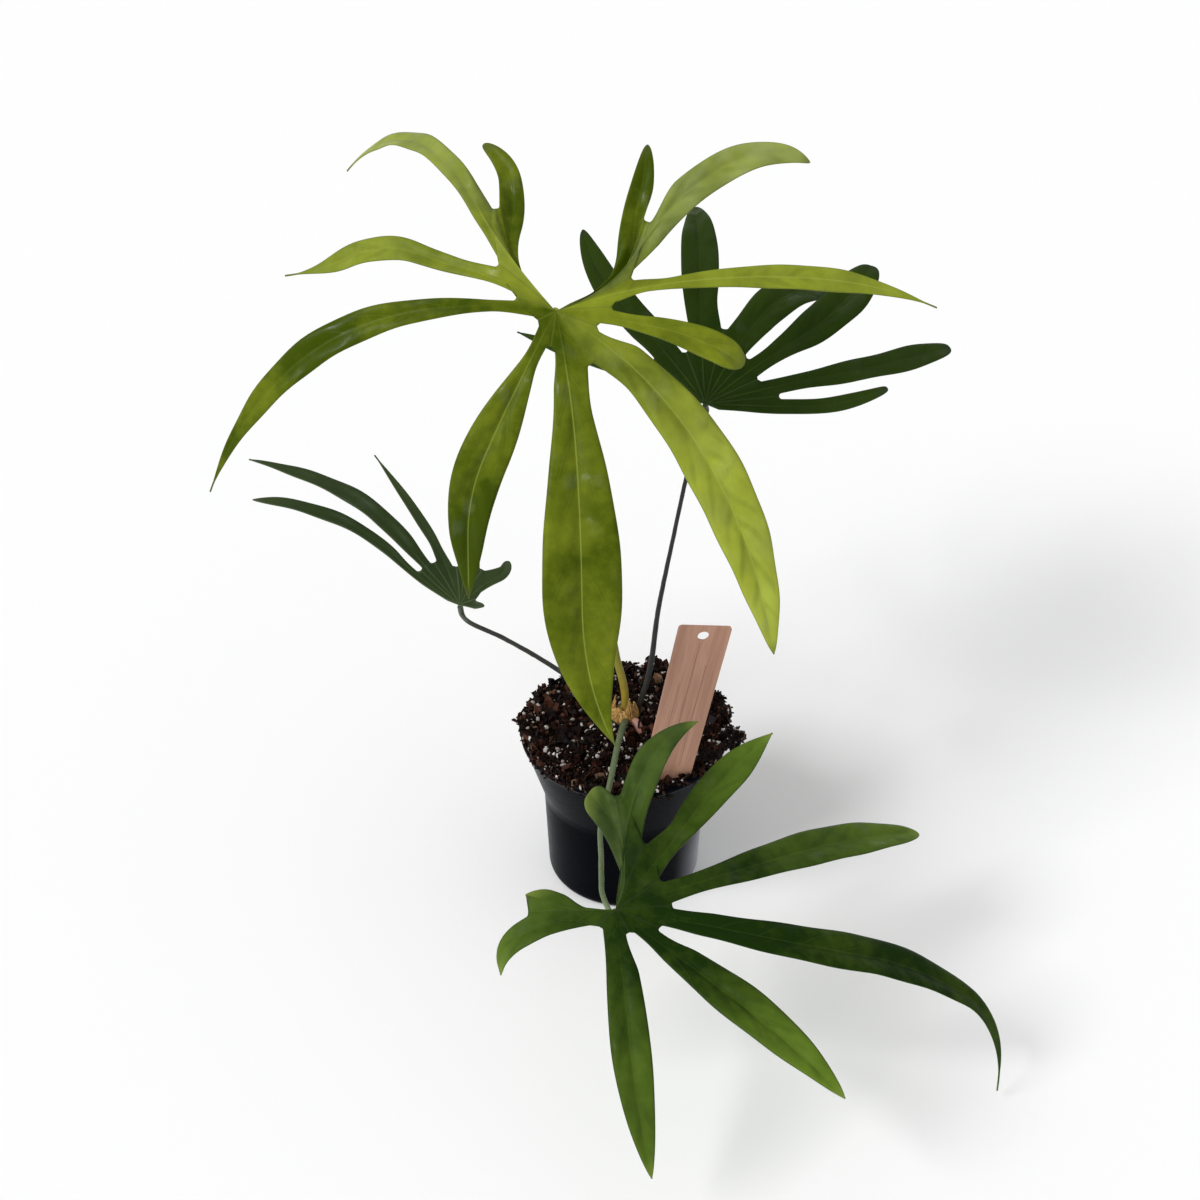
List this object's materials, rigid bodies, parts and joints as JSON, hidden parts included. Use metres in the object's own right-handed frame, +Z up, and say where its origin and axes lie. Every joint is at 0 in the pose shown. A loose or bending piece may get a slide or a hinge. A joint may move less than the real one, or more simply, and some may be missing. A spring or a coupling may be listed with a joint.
{
  "type": "potted anthurium pedatoradiatum",
  "caption": "Young potted aroid house plant with narrow, deeply finger-lobed leaves on slim stalks, in a round black nursery pot with a plain wooden label.",
  "frame": {"origin": "centre of the pot's base, on the surface that the pot stands on", "axes": "+Z up along the pot's axis; the front of the plant, with its lowest leaf, looks along -Y"},
  "size_m": [0.3674, 0.4298, 0.3779],
  "materials": {
    "pot_plastic": "satin black moulded plastic",
    "potting_mix": "moist bark, coir and perlite",
    "stem_bark": "rough greenish brown stem",
    "root_skin": "smooth pinkish root tip",
    "dry_sheath": "papery dry sheath",
    "young_petiole": "smooth olive stalk",
    "dark_petiole": "smooth dark stalk",
    "grey_petiole": "smooth grey-green stalk",
    "young_leaf": "satin yellow-green leaf",
    "dark_leaf": "satin dark green leaf",
    "mid_leaf": "satin mid green leaf",
    "label_wood": "fine sanded light wood with a printed rule"
  },
  "bodies": {
    "root": {"pot": "pot_plastic", "potting_mix": "potting_mix", "stem": "stem_bark", "aerial_root": "root_skin", "stem_sheath": "dry_sheath", "petiole_1": "young_petiole", "petiole_2": "dark_petiole", "petiole_3": "dark_petiole", "petiole_4": "grey_petiole", "blade_1": "young_leaf", "blade_2": "dark_leaf", "blade_3": "dark_leaf", "blade_4": "mid_leaf", "plant_label": "label_wood"}
  },
  "joints": []
}
